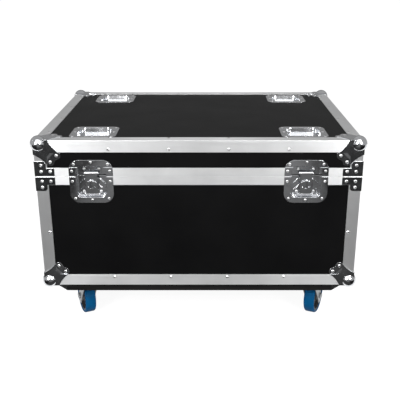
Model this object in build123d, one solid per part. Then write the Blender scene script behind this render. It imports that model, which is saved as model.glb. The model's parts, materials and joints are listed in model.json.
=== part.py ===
from build123d import *
import os
from math import cos, radians, sin

# Road case, standing on its castors, millimetres
# Origin on the floor under the middle of the case, +X to the right, -Y to the front, +Z up

# Overall sizes
CASE_WIDTH = 800.0
CASE_DEPTH = 600.0
BASE_HEIGHT = 297.0
LID_HEIGHT = 91.0
BOARD_THICKNESS = 20.0
CASTOR_HEIGHT = 128.0
OVERRUN = 5.0
SIDES = (-1, 1)

# Panels and rails
PANEL_THICKNESS = 9.0
RAIL_WALL = 1.5
RAIL_LEG = 30.0
RAIL_INNER_FLANGE = 9.0
RAIL_EDGE_RADIUS = 1.2
GROOVE_RAIL_LEG = 21.5
TONGUE_RAIL_LEG = 22.0
CLOSING_INNER_LEG = 15.0
SPLIT_GAP = 0.4
TONGUE_WIDTH = 3.0
TONGUE_HEIGHT = 4.2
GROOVE_WIDTH = 5.0
GROOVE_DEPTH = 5.5

# Ball corners
BALL_RADIUS = 20.5
BALL_INSET = 11.0
PLATE = 1.5
LEG_FOOT = 36.0
LEG_CURVE = 29.0
LOBE_ALONG = 54.5
LOBE_ACROSS = 38.5
LOBE_RADIUS = 10.0
LOBE_DIP = 2.2
LOBE_START = -60.0
LOBE_END = 70.0
DIAGONAL = 45.0
CRANK_START = 49.0
CRANK_LENGTH = 8.0

# Corner braces at the split
BRACE_SETBACK = 1.1
BRACE_ARM = 47.5
BRACE_STEM = 27.5
LID_BRACE_RISE = 37.5
BASE_BRACE_RISE = 36.5
BRACE_ARM_CLEARANCE = 0.6
BRACE_CORNER_RADIUS = 8.0

# Rivets
RIVET_RADIUS = 4.2
RIVET_HEIGHT = 1.8
RIVET_EYE_RADIUS = 1.3
RIVET_EYE_DEPTH = 1.0
RIVET_PITCH = 146.0
RIVET_INSET = 22.8
RIVET_END_MARGIN = 75.0
BRACE_RIVET_NEAR = 15.0
BRACE_RIVET_FAR = 37.0
BRACE_RIVET_LOW = 12.6
BRACE_RIVET_HIGH = 28.2

# Butterfly latches, from the latch centre line, the split and the outer face
LATCH_INSET = 136.0
LATCH_WIDTH = 108.0
LATCH_TOP = 41.5
LATCH_BOTTOM = 69.0
LATCH_CORNER_RADIUS = 25.0
LATCH_SETBACK = 1.1
WELL_WIDTH = 74.0
WELL_TOP = 25.8
WELL_BOTTOM = 54.8
WELL_DEPTH = 14.0
WELL_CORNER_RADIUS = 12.0
WELL_CLEARANCE = 0.5
LATCH_RIVET_CORNER = (41.5, 31.0, 57.5)
LATCH_RIVET_SIDE = (46.5, 14.0, 12.5)
LATCH_RIVET_MIDDLE = (36.0, 61.5)
LATCH_RIVET_RADIUS = 3.6

# Latch mechanism
SWING_REST = 3.0
PIN_DEPTH = 9.3
PIN_DROP = 48.6
PIN_RADIUS = 1.7
BARREL_RADIUS = 3.0
BARREL_LENGTH = 31.0
BRACKET_EAR = 3.0
BRACKET_EAR_GAP = 0.4
BRACKET_WIDTH = 66.0
BRACKET_NECK = 38.0
BRACKET_SHOULDER = 23.0
BRACKET_TOP = 8.5
BRACKET_CHAMFER = 6.0
BRACKET_BOSS = 1.0
BOSS_WIDTH = 57.0
BOSS_NECK = 27.0
BOSS_BOTTOM = 46.0
BOSS_SHOULDER = 37.0
BOSS_TOP = 22.5
BRACKET_RIVET_X = 21.0
BRACKET_RIVET_DROP = 42.0
RUNNING_CLEARANCE = 0.05
SWING_PLATE_DEPTH = 6.8
SWING_PLATE_THICKNESS = 2.0
SWING_PLATE_TOP = 5.0
SWING_PLATE_SHOULDER = 40.0
GUIDE_HEIGHT = 2.4
GUIDE_THICKNESS = 1.5
GUIDE_END = 2.0
CLAW_WIDTH = 30.0
CLAW_THICKNESS = 2.0
CLAW_GAP = 0.4
CLAW_TOP = 11.6
CLAW_HEAD_WIDTH = 37.0
CLAW_HEAD_BOTTOM = 4.7
CLAW_HEAD_SHOULDER = 7.5
CLAW_HEAD_TOP_WIDTH = 31.0
CLAW_CURL_RADIUS = 6.0
CLAW_BOTTOM = 34.0
STRIKE_LIP_DEPTH = 8.0
STRIKE_LIP_WIDTH = 22.0
STRIKE_WIDTH = 48.0
STRIKE_BOTTOM = 5.0
STRIKE_TOP = 21.0
STRIKE_LIP_TOP = 8.2
STRIKE_RIVET = (18.0, 15.6)
SPINDLE_DROP = 21.2
SPINDLE_DISC_RADIUS = 11.5
SPINDLE_DISC_DEPTH = 2.0
SPINDLE_DISC_THICKNESS = 2.0
SPINDLE_SHAFT_RADIUS = 4.0
SPINDLE_FLANGE_RADIUS = 6.0
SPINDLE_FLANGE_THICKNESS = 1.0
SPINDLE_FLANGE_GAP = 0.2
CAM_RADIUS = 6.5
CAM_OFFSET = 3.0
CAM_SIDE_GAP = 0.4
CAM_RISE_GAP = 0.75
CAM_END_GAP = 0.2
WING_AXIS_X = 2.2
WING_REACH = 14.0
WING_HEIGHT = 17.4
WING_THICKNESS = 1.4
WING_KNUCKLE_RADIUS = 1.0
WING_PIN_RADIUS = 0.7
WING_TIP_RADIUS = 8.0
WING_GAP = 0.3
WING_FLOOR_GAP = 0.1
WING_EAR_THICKNESS = 2.0
WING_EAR_HALF_WIDTH = 1.5
WING_WEB = 3.0

# Stacking dishes in the lid
DISH_INSET = 137.0
DISH_FRONT_INSET = 83.8
DISH_BACK_INSET = 101.0
DISH_FLANGE_WIDTH = 116.0
DISH_FLANGE_DEPTH = 107.0
DISH_FLANGE_RADIUS = 18.0
DISH_WELL = 82.0
DISH_WELL_RADIUS = 16.0
DISH_WELL_DEPTH = 11.0
DISH_DRAFT_ANGLE = 10.0
DISH_SHEET = 1.2
DISH_RIVET_MARGIN = 9.5

# Castor board
BOARD_INSET = 6.5
BOARD_CHAMFER = 47.0
BOARD_REBATE_DEPTH = 3.6
BOARD_REBATE_MARGIN = 3.0

# Castors
CASTOR_INSET_X = 93.0
CASTOR_INSET_Y = 98.0
TRAIL = 37.0
CASTOR_YAW = 24.0
CASTOR_PLATE_LENGTH = 105.0
CASTOR_PLATE_WIDTH = 85.0
CASTOR_PLATE_THICKNESS = 3.0
CASTOR_PLATE_RADIUS = 8.0
CASTOR_BOLT_SPACING_X = 80.0
CASTOR_BOLT_SPACING_Y = 60.0
BOLT_RADIUS = 4.0
BOLT_HOLE_RADIUS = 4.3
BOLT_HEAD_RADIUS = 7.0
BOLT_HEAD_HEIGHT = 5.0
TEE_NUT_RADIUS = 10.5
TEE_NUT_THICKNESS = 1.3
RACE_RADIUS = 22.0
RACE_BALL_RADIUS = 3.0
RACE_BALL_COUNT = 14
RACE_GAP = 0.1
CROWN_RADIUS = 34.0
CROWN_THICKNESS = 3.0
CROWN_RIM = 4.0
KINGPIN_RADIUS = 6.0
KINGPIN_FLANGE_RADIUS = 9.5
KINGPIN_FLANGE_THICKNESS = 4.0
KINGPIN_GAP = 0.3
WHEEL_RADIUS = 50.0
TYRE_WIDTH = 30.0
TYRE_SHOULDER = 4.5
RIM_RADIUS = 43.0
RIM_WIDTH = 26.0
RIM_BAND = 4.0
RIM_WEB = 7.0
HUB_RADIUS = 15.0
HUB_LENGTH = 33.0
HUB_SIDE_GAP = 0.4
FORK_WALL = 2.5
FORK_FOOT_RADIUS = 12.0
FORK_FOOT_DROP = 10.0
FORK_FRONT = 22.0
FORK_BACK = 29.0
FORK_SHOULDER_DROP = 16.0
AXLE_RADIUS = 5.0
AXLE_HEAD_RADIUS = 8.5
AXLE_HEAD_HEIGHT = 4.5
AXLE_NUT_HEIGHT = 4.5

# End handles
HANDLE_RISE = 150.0
HANDLE_FLANGE_RADIUS = 14.0
HANDLE_WELL_WIDTH = 146.0
HANDLE_WELL_HEIGHT = 98.0
HANDLE_WELL_RADIUS = 12.0
HANDLE_WELL_DEPTH = 20.0
HANDLE_LIP = 15.0
HANDLE_RIVET_MARGIN = 8.0
PIVOT_RISE = 32.0
PIVOT_DEPTH = 9.5
BAIL_RADIUS = 4.0
BAIL_DROP = 54.0
BAIL_BEND = 5.0
BAIL_TRUNNION = 21.2
BAIL_END_GAP = 1.8
GRIP_RADIUS = 9.0
GRIP_END_GAP = 1.0
GRIP_END_RADIUS = 3.0
PIVOT_BLOCK_THICKNESS = 7.0
PIVOT_BLOCK_HALF_HEIGHT = 7.0
PIVOT_BLOCK_END_GAP = 1.0
SPRING_WIRE_RADIUS = 0.8
SPRING_RADIUS = 5.6
SPRING_TURNS = 3
SPRING_END_GAP = 0.3

# Rear hinges
HINGE_INSET = 180.0
HINGE_WIDTH = 64.0
HINGE_LEAF = 40.0
HINGE_AXIS_OUT = 4.2
HINGE_BARREL_RADIUS = 3.9
HINGE_PIN_RADIUS = 2.0
HINGE_KNUCKLE = 21.2
HINGE_KNUCKLE_GAP = 0.4
HINGE_EDGE_GAP = 0.4
HINGE_RIVET_X = 22.0
HINGE_RIVET_RISE = (13.0, 32.0)

# Foam lining
FOAM = 10.0
FOAM_GAP = 0.3
FOAM_LIFT = 1.0

# Places worked out from the sizes above
HALF_W = CASE_WIDTH / 2
HALF_D = CASE_DEPTH / 2
BOARD_Z = CASTOR_HEIGHT
CASE_Z = BOARD_Z + BOARD_THICKNESS
SPLIT_Z = CASE_Z + BASE_HEIGHT
TOP_Z = SPLIT_Z + LID_HEIGHT
BASE_EDGE_Z = SPLIT_Z - SPLIT_GAP / 2
LID_EDGE_Z = SPLIT_Z + SPLIT_GAP / 2
CHANNEL = RAIL_WALL + PANEL_THICKNESS + RAIL_WALL
PANEL_BACK = RAIL_WALL + PANEL_THICKNESS
INNER_REACH = CHANNEL + RAIL_INNER_FLANGE
GROOVE_WEB = GROOVE_DEPTH + RAIL_WALL
TONGUE_INSET = RAIL_WALL + (PANEL_THICKNESS - TONGUE_WIDTH) / 2
GROOVE_INSET = RAIL_WALL + (PANEL_THICKNESS - GROOVE_WIDTH) / 2
LATCH_X = HALF_W - LATCH_INSET
HINGE_X = HALF_W - HINGE_INSET
DISH_X = HALF_W - DISH_INSET
DISH_FRONT_Y = -HALF_D + DISH_FRONT_INSET
DISH_BACK_Y = HALF_D - DISH_BACK_INSET
CASTOR_X = HALF_W - CASTOR_INSET_X
CASTOR_Y = HALF_D - CASTOR_INSET_Y
LEG_REACH = LOBE_ALONG + LOBE_RADIUS
HANDLE_FLANGE_WIDTH = HANDLE_WELL_WIDTH + 2 * HANDLE_LIP
HANDLE_FLANGE_HEIGHT = HANDLE_WELL_HEIGHT + 2 * HANDLE_LIP
BAIL_SPAN = HANDLE_WELL_WIDTH - 2 * (BAIL_TRUNNION + BAIL_END_GAP)


# Small helpers

def block(x0, x1, y0, y1, z0, z1):
    """Box between pairs of planes."""
    return Pos((x0 + x1) / 2, (y0 + y1) / 2, (z0 + z1) / 2) * Box(x1 - x0, y1 - y0, z1 - z0)


def centred(width, y0, y1, z0, z1):
    """Box that is centred across X."""
    return block(-width / 2, width / 2, y0, y1, z0, z1)


def rod_x(radius, x0, x1, y, z):
    """Round bar along X."""
    return Pos((x0 + x1) / 2, y, z) * Rot(0, 90, 0) * Cylinder(radius, x1 - x0)


def rod_y(radius, x, y0, y1, z):
    """Round bar along Y."""
    return Pos(x, (y0 + y1) / 2, z) * Rot(90, 0, 0) * Cylinder(radius, y1 - y0)


def rod_z(radius, x, y, z0, z1):
    """Round bar along Z."""
    return Pos(x, y, (z0 + z1) / 2) * Cylinder(radius, z1 - z0)


def band(inset0, inset1, z0, z1):
    """Rectangular ring between two insets from the case's side faces."""
    outer = block(-HALF_W + inset0, HALF_W - inset0, -HALF_D + inset0, HALF_D - inset0, z0, z1)
    inner = block(-HALF_W + inset1, HALF_W - inset1, -HALF_D + inset1, HALF_D - inset1,
                  z0 - OVERRUN, z1 + OVERRUN)
    return outer - inner


def facing(outline, y0, y1):
    """A sketch in X and Z, extruded from depth y0 to y1 behind the origin."""
    return extrude(Plane((0, y0, 0), x_dir=(1, 0, 0), z_dir=(0, -1, 0)).location * outline, -(y1 - y0))


def solids_of(*shapes):
    """Every solid of the given shapes in one list."""
    return [solid for shape in shapes for solid in shape.solids()]


def four_ways(shape):
    """Copies of a shape mirrored to the four upright edges of the case."""
    pair = [shape, mirror(shape, about=Plane.YZ)]
    return pair + [mirror(item, about=Plane.XZ) for item in pair]


def save(name, shapes):
    """Write the solids of a node."""
    solids = solids_of(*shapes)
    export_step(Compound(children=solids), "parts/" + name + ".step")
    print(name, len(solids))


def mitre_split(ring, z0, z1):
    """Cut a rail ring into four lengths at its mitred corners."""
    front = Polyline((-HALF_W, -HALF_D), (HALF_W, -HALF_D), (HALF_W - HALF_D, 0), (HALF_D - HALF_W, 0),
                     close=True)
    side = Polyline((-HALF_W, -HALF_D), (HALF_D - HALF_W, 0), (-HALF_W, HALF_D), close=True)
    pieces = []
    for outline, plane in ((front, Plane.XZ), (side, Plane.YZ)):
        wedge = extrude(Pos(0, 0, z0) * make_face(outline), z1 - z0)
        piece = ring & wedge
        pieces += [piece, mirror(piece, about=plane)]
    return pieces


def rail_stations(half):
    """Rivet places along a rail of a given half length."""
    count = round((half - RIVET_END_MARGIN) / RIVET_PITCH)
    return [side * (index + 1 / 2) * RIVET_PITCH for index in range(count) for side in SIDES]


# Latch cut-outs, shared by panels, rails and foam

def latch_cutter(margin, depth):
    """Space through the front wall for the well of each latch."""
    half = WELL_WIDTH / 2 + PLATE + margin
    low = SPLIT_Z - WELL_BOTTOM - PLATE - margin
    high = SPLIT_Z + WELL_TOP + PLATE + margin
    front = -HALF_D - OVERRUN
    return [block(side * LATCH_X - half, side * LATCH_X + half, front, -HALF_D + depth, low, high)
            for side in SIDES]


LATCH_OPENINGS = latch_cutter(WELL_CLEARANCE, CHANNEL + OVERRUN)
LATCH_FOAM_POCKETS = latch_cutter(FOAM_LIFT, WELL_DEPTH + PLATE + FOAM_GAP)


# Rails

def edge_ring(z_face, up):
    """Double-angle rail round the top or bottom of the case, up = 1 at the bottom and -1 at the top."""
    def ring(inset0, inset1, rise0, rise1):
        levels = sorted((z_face + up * rise0, z_face + up * rise1))
        return band(inset0, inset1, levels[0], levels[1])
    body = ring(0, RAIL_WALL, 0, RAIL_LEG) + ring(0, RAIL_LEG, 0, RAIL_WALL)
    body += ring(PANEL_BACK, CHANNEL, 0, INNER_REACH) + ring(0, INNER_REACH, PANEL_BACK, CHANNEL)
    outer = [edge for edge in body.edges()
             if abs(edge.center().Z - z_face) < RAIL_EDGE_RADIUS
             and (abs(abs(edge.center().X) - HALF_W) < RAIL_EDGE_RADIUS
                  or abs(abs(edge.center().Y) - HALF_D) < RAIL_EDGE_RADIUS)]
    body = fillet(outer, RAIL_EDGE_RADIUS)
    levels = sorted((z_face, z_face + up * (RAIL_LEG + OVERRUN)))
    return mitre_split(body, levels[0], levels[1])


def corner_rails(z0, z1):
    """Upright double-angle rails at the four corners."""
    def arm(reach0, reach1, inset0, inset1):
        flat = block(-HALF_W + reach0, -HALF_W + reach1, -HALF_D + inset0, -HALF_D + inset1, z0, z1)
        turned = block(-HALF_W + inset0, -HALF_W + inset1, -HALF_D + reach0, -HALF_D + reach1, z0, z1)
        return flat + turned
    rail = arm(0, RAIL_LEG, 0, RAIL_WALL) + arm(0, INNER_REACH, PANEL_BACK, CHANNEL)
    edge = [item for item in rail.edges().filter_by(Axis.Z)
            if item.center().X < -HALF_W + RAIL_EDGE_RADIUS and item.center().Y < -HALF_D + RAIL_EDGE_RADIUS]
    return four_ways(fillet(edge, RAIL_EDGE_RADIUS))


def closing_rails(ring, z0, z1):
    """Mitred closing rails, cut away at the latch wells."""
    lengths = mitre_split(ring, z0, z1)
    return [length - LATCH_OPENINGS for length in lengths]


def tongue_rails():
    """Closing rails of the base, with the tongue standing up from them."""
    low = BASE_EDGE_Z - TONGUE_RAIL_LEG
    ring = band(0, RAIL_WALL, low, BASE_EDGE_Z)
    ring += band(0, CHANNEL, BASE_EDGE_Z - RAIL_WALL, BASE_EDGE_Z)
    ring += band(PANEL_BACK, CHANNEL, BASE_EDGE_Z - CLOSING_INNER_LEG, BASE_EDGE_Z)
    ring += band(TONGUE_INSET, TONGUE_INSET + TONGUE_WIDTH, BASE_EDGE_Z, BASE_EDGE_Z + TONGUE_HEIGHT)
    return closing_rails(ring, low, BASE_EDGE_Z + TONGUE_HEIGHT)


def groove_rails():
    """Closing rails of the lid, with the groove that takes the tongue."""
    high = LID_EDGE_Z + GROOVE_RAIL_LEG
    ring = band(0, RAIL_WALL, LID_EDGE_Z, high)
    ring += band(0, CHANNEL, LID_EDGE_Z, LID_EDGE_Z + GROOVE_WEB)
    ring += band(PANEL_BACK, CHANNEL, LID_EDGE_Z, LID_EDGE_Z + CLOSING_INNER_LEG)
    ring -= band(GROOVE_INSET, GROOVE_INSET + GROOVE_WIDTH, LID_EDGE_Z - OVERRUN, LID_EDGE_Z + GROOVE_DEPTH)
    return closing_rails(ring, LID_EDGE_Z, high)


# Panels

def wall_panels(z0, z1):
    """Front, back and two end panels between two heights."""
    front = block(-HALF_W + CHANNEL, HALF_W - CHANNEL, -HALF_D + RAIL_WALL, -HALF_D + PANEL_BACK, z0, z1)
    end = block(-HALF_W + RAIL_WALL, -HALF_W + PANEL_BACK, -HALF_D + CHANNEL, HALF_D - CHANNEL, z0, z1)
    return front - LATCH_OPENINGS, mirror(front, about=Plane.XZ), end, mirror(end, about=Plane.YZ)


def flat_panel(z0, z1):
    """Floor or top panel."""
    return block(-HALF_W + CHANNEL, HALF_W - CHANNEL, -HALF_D + CHANNEL, HALF_D - CHANNEL, z0, z1)


# Stacking dishes, in the lid's top panel

def dish_places():
    return [(side * DISH_X, y) for y in (DISH_FRONT_Y, DISH_BACK_Y) for side in SIDES]


def dish_well(grow, depth):
    """Tapered well under the top face."""
    outline = RectangleRounded(DISH_WELL + 2 * grow, DISH_WELL + 2 * grow, DISH_WELL_RADIUS + grow)
    return extrude(outline, -depth, taper=DISH_DRAFT_ANGLE)


def stacking_dish():
    flange = extrude(RectangleRounded(DISH_FLANGE_WIDTH, DISH_FLANGE_DEPTH, DISH_FLANGE_RADIUS), -RAIL_WALL)
    shell = flange + dish_well(DISH_SHEET, DISH_WELL_DEPTH + DISH_SHEET) - dish_well(0, DISH_WELL_DEPTH)
    return shell


def dish_holes():
    hole = DISH_WELL + 2 * (DISH_SHEET + WELL_CLEARANCE)
    outline = RectangleRounded(hole, hole, DISH_WELL_RADIUS + DISH_SHEET + WELL_CLEARANCE)
    cutter = extrude(outline, -(PANEL_BACK + FOAM + OVERRUN))
    return [Pos(x, y, TOP_Z) * cutter for x, y in dish_places()]


# Ball corners, built at a corner whose inside lies towards +X, +Y and +Z

def leg_outline():
    """Outline of one leg on a face, along two edges from the corner."""
    def round_lobe(turn):
        angle = radians(turn)
        return (LOBE_ALONG + LOBE_RADIUS * cos(angle), LOBE_ACROSS + LOBE_RADIUS * sin(angle))

    def swap(point):
        return (point[1], point[0])
    start_a = round_lobe(LOBE_START)
    side_a = round_lobe(0)
    end_a = round_lobe(LOBE_END)
    curve_mid = LEG_FOOT + LEG_CURVE - LEG_CURVE * cos(radians(DIAGONAL))
    rise_mid = LEG_CURVE * sin(radians(DIAGONAL)) * LOBE_ACROSS / LOBE_ALONG
    middle = (LOBE_ALONG + LOBE_ACROSS) / 2 + LOBE_RADIUS * sin(radians(DIAGONAL)) - LOBE_DIP
    line = Polyline(swap((LEG_FOOT, -PLATE)), (-PLATE, -PLATE), (LEG_FOOT, -PLATE), (LEG_FOOT, 0))
    curve_a = ThreePointArc((LEG_FOOT, 0), (curve_mid, rise_mid), start_a)
    round_a = ThreePointArc(start_a, side_a, end_a)
    dip = ThreePointArc(end_a, (middle, middle), swap(end_a))
    round_b = ThreePointArc(swap(end_a), swap(side_a), swap(start_a))
    curve_b = ThreePointArc(swap(start_a), (rise_mid, curve_mid), swap((LEG_FOOT, 0)))
    close = Line(swap((LEG_FOOT, 0)), swap((LEG_FOOT, -PLATE)))
    return make_face([line, curve_a, round_a, dip, round_b, curve_b, close])


def ball_leg():
    """Leg on the face z = 0: on the rails outside it, then sloping down on the panel."""
    outline = leg_outline()
    far = LEG_REACH + OVERRUN
    inside = Pos(far / 2 + RAIL_LEG, far / 2 + RAIL_LEG) * Rectangle(far, far)
    slope = make_face(Polyline((CRANK_START, -PLATE), (CRANK_START + CRANK_LENGTH, 0), (far * 2, 0),
                               (far * 2, -PLATE * 2), (CRANK_START, -PLATE * 2), close=True))
    diagonal = Plane((0, 0, 0), x_dir=(1, 1, 0), z_dir=(1, -1, 0))
    above = extrude(diagonal * slope, far, both=True)
    sunk = RAIL_LEG + PLATE
    above &= block(sunk, far * 2, sunk, far * 2, -PLATE * 2, 0)
    high = extrude(outline, -PLATE) - above
    low = extrude(outline & inside, PLATE)
    return high + low


def ball_corner():
    """Pressed corner with a ball over the corner point and three legs."""
    leg = ball_leg()
    diagonal = Axis((0, 0, 0), (1, 1, 1))
    ball = Pos(BALL_INSET, BALL_INSET, BALL_INSET) * Sphere(BALL_RADIUS)
    reach = BALL_INSET + BALL_RADIUS + OVERRUN
    ball -= block(0, reach, 0, reach, 0, reach)
    return ball + leg + leg.rotate(diagonal, 120) + leg.rotate(diagonal, 240)


# Corner braces, built at an upright edge whose inside lies towards +X and +Y, rising from z = 0

def corner_brace(rise, rail_leg):
    """L-shaped plate folded round an upright edge beside the split."""
    arm = rail_leg - BRACE_SETBACK - BRACE_ARM_CLEARANCE
    outline = make_face(Polyline((-PLATE, 0), (BRACE_ARM, 0), (BRACE_ARM, arm), (BRACE_STEM, arm),
                                 (BRACE_STEM, rise), (-PLATE, rise), close=True))
    corner = [point for point in outline.vertices() if point.Y > rise - OVERRUN and point.X > 0]
    outline = fillet(corner, BRACE_CORNER_RADIUS)
    face = Pos(0, 0, BRACE_SETBACK) * facing(outline, -PLATE, 0)
    return face + mirror(face, about=Plane((0, 0, 0), x_dir=(1, 1, 0), z_dir=(1, -1, 0)))


# Rivets

def rivet(radius=RIVET_RADIUS):
    """Domed blind rivet head on z = 0."""
    dome = (radius ** 2 + RIVET_HEIGHT ** 2) / (2 * RIVET_HEIGHT)
    head = Pos(0, 0, RIVET_HEIGHT - dome) * Sphere(dome)
    head &= block(-radius, radius, -radius, radius, 0, RIVET_HEIGHT)
    return head - rod_z(RIVET_EYE_RADIUS, 0, 0, RIVET_HEIGHT - RIVET_EYE_DEPTH, RIVET_HEIGHT + OVERRUN)


RIVET = rivet()
LATCH_RIVET = rivet(LATCH_RIVET_RADIUS)


def rivet_at(x, y, z, normal, head=RIVET):
    return Plane((x, y, z), z_dir=normal).location * head


def side_rivets(z):
    """Rivets along the four side faces at one height."""
    heads = []
    for x in rail_stations(HALF_W):
        heads += [rivet_at(x, side * HALF_D, z, (0, side, 0)) for side in SIDES]
    for y in rail_stations(HALF_D):
        heads += [rivet_at(side * HALF_W, y, z, (side, 0, 0)) for side in SIDES]
    return heads


def top_rivets():
    heads = []
    for x in rail_stations(HALF_W):
        heads += [rivet_at(x, side * (HALF_D - RIVET_INSET), TOP_Z, (0, 0, 1)) for side in SIDES]
    for y in rail_stations(HALF_D):
        heads += [rivet_at(side * (HALF_W - RIVET_INSET), y, TOP_Z, (0, 0, 1)) for side in SIDES]
    return heads


def corner_rivets(rows):
    """Rivets near an upright edge, given as rows of (inset from the edge, height, stand-off)."""
    heads = []
    for side_x in SIDES:
        for side_y in SIDES:
            for inset, z, out in rows:
                heads.append(rivet_at(side_x * (HALF_W - inset), side_y * (HALF_D + out), z, (0, side_y, 0)))
                heads.append(rivet_at(side_x * (HALF_W + out), side_y * (HALF_D - inset), z, (side_x, 0, 0)))
    return heads


def flat_corner_rivets(z, up):
    """Ball corner rivets on the top or the bottom face."""
    heads = []
    for side_x in SIDES:
        for side_y in SIDES:
            for along, across in ((LOBE_ALONG, LOBE_ACROSS), (LOBE_ACROSS, LOBE_ALONG)):
                heads.append(rivet_at(side_x * (HALF_W - along), side_y * (HALF_D - across), z, (0, 0, up)))
    return heads


def latch_rivets(upper):
    """Rivets round a latch dish, on the rail or on the panel."""
    corner_x, corner_up, corner_down = LATCH_RIVET_CORNER
    side_x, side_up, side_down = LATCH_RIVET_SIDE
    sign = 1 if upper else -1
    corner_z = corner_up if upper else corner_down
    side_z = side_up if upper else side_down
    middle_z = LATCH_RIVET_MIDDLE[0 if upper else 1]
    heads = []
    for latch in SIDES:
        for side in SIDES:
            heads.append(rivet_at(latch * LATCH_X + side * corner_x, -HALF_D, SPLIT_Z + sign * corner_z,
                                  (0, -1, 0), LATCH_RIVET))
            heads.append(rivet_at(latch * LATCH_X + side * side_x, -HALF_D - PLATE, SPLIT_Z + sign * side_z,
                                  (0, -1, 0), LATCH_RIVET))
        heads.append(rivet_at(latch * LATCH_X, -HALF_D, SPLIT_Z + sign * middle_z, (0, -1, 0), LATCH_RIVET))
    return heads


def strike_rivets():
    x, z = STRIKE_RIVET
    return [rivet_at(latch * LATCH_X + side * x, -HALF_D + WELL_DEPTH - PLATE, SPLIT_Z + z,
                     (0, -1, 0), LATCH_RIVET)
            for latch in SIDES for side in SIDES]


def bracket_rivets():
    return [rivet_at(latch * LATCH_X + side * BRACKET_RIVET_X, -HALF_D + bracket_face(),
                     SPLIT_Z - BRACKET_RIVET_DROP, (0, -1, 0), LATCH_RIVET)
            for latch in SIDES for side in SIDES]


def ring_of_rivets(half_u, half_v):
    """Eight places round a rectangular flange."""
    corners = [(side_u * half_u, side_v * half_v) for side_u in SIDES for side_v in SIDES]
    return corners + [(side * half_u, 0) for side in SIDES] + [(0, side * half_v) for side in SIDES]


def dish_rivets():
    half_u = DISH_FLANGE_WIDTH / 2 - DISH_RIVET_MARGIN
    half_v = DISH_FLANGE_DEPTH / 2 - DISH_RIVET_MARGIN
    return [rivet_at(x + u, y + v, TOP_Z, (0, 0, 1), LATCH_RIVET)
            for x, y in dish_places() for u, v in ring_of_rivets(half_u, half_v)]


def handle_rivets():
    half_u = HANDLE_FLANGE_WIDTH / 2 - HANDLE_RIVET_MARGIN
    half_v = HANDLE_FLANGE_HEIGHT / 2 - HANDLE_RIVET_MARGIN
    return [rivet_at(side * HALF_W, u, CASE_Z + HANDLE_RISE + v, (side, 0, 0), LATCH_RIVET)
            for side in SIDES for u, v in ring_of_rivets(half_u, half_v)]


def hinge_rivets(sign):
    """Rivets of the hinge leaves, the near pair on the rail and the far pair on the panel."""
    near, far = HINGE_RIVET_RISE
    return [rivet_at(hinge * HINGE_X + side * HINGE_RIVET_X, HALF_D + out, SPLIT_Z + sign * rise,
                     (0, 1, 0), LATCH_RIVET)
            for hinge in SIDES for side in SIDES for rise, out in ((near, PLATE), (far, 0))]


# Latch dishes, strikes and brackets, from the latch centre line, the split and the outer face

def latch_half_outline(width, reach, radius, sign):
    """Plate on one side of the split, rounded at its two far corners."""
    height = reach - LATCH_SETBACK
    outline = Pos(0, sign * (LATCH_SETBACK + height / 2)) * Rectangle(width, height)
    far = outline.vertices().group_by(Axis.Y)[-1 if sign > 0 else 0]
    return fillet(far, radius)


def latch_dish(sign, reach, well_reach, rail_leg):
    """Half of a recessed latch dish: cranked flange and open-ended well."""
    flange = latch_half_outline(LATCH_WIDTH, reach, LATCH_CORNER_RADIUS, sign)
    well_out = latch_half_outline(WELL_WIDTH + 2 * PLATE, well_reach + PLATE, WELL_CORNER_RADIUS + PLATE,
                                  sign)
    well_in = latch_half_outline(WELL_WIDTH, well_reach, WELL_CORNER_RADIUS, sign)
    edge = rail_leg + SPLIT_GAP / 2
    near = Pos(0, sign * (edge + PLATE) / 2) * Rectangle(LATCH_WIDTH, edge + PLATE)
    far = Pos(0, sign * (edge + reach / 2)) * Rectangle(LATCH_WIDTH, reach)
    shell = facing(flange & near, -PLATE, 0) + facing(flange & far, 0, PLATE)
    shell += facing(well_out, 0, WELL_DEPTH + PLATE)
    mouth = Pos(0, sign * LATCH_SETBACK) * Rectangle(WELL_WIDTH, LATCH_SETBACK)
    return shell - facing(well_in + mouth, -PLATE - OVERRUN, WELL_DEPTH)


def latch_strike():
    """Catch riveted in the upper well, with the upturned lip that the claw takes hold of."""
    back = WELL_DEPTH - PLATE
    plate = centred(STRIKE_WIDTH, back, WELL_DEPTH, STRIKE_BOTTOM, STRIKE_TOP)
    shelf = centred(STRIKE_LIP_WIDTH, STRIKE_LIP_DEPTH, back, STRIKE_BOTTOM, STRIKE_BOTTOM + PLATE)
    lip = centred(STRIKE_LIP_WIDTH, STRIKE_LIP_DEPTH, STRIKE_LIP_DEPTH + PLATE, STRIKE_BOTTOM,
                  STRIKE_LIP_TOP)
    return plate + shelf + lip


def bracket_face():
    return WELL_DEPTH - PLATE - BRACKET_BOSS


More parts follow.
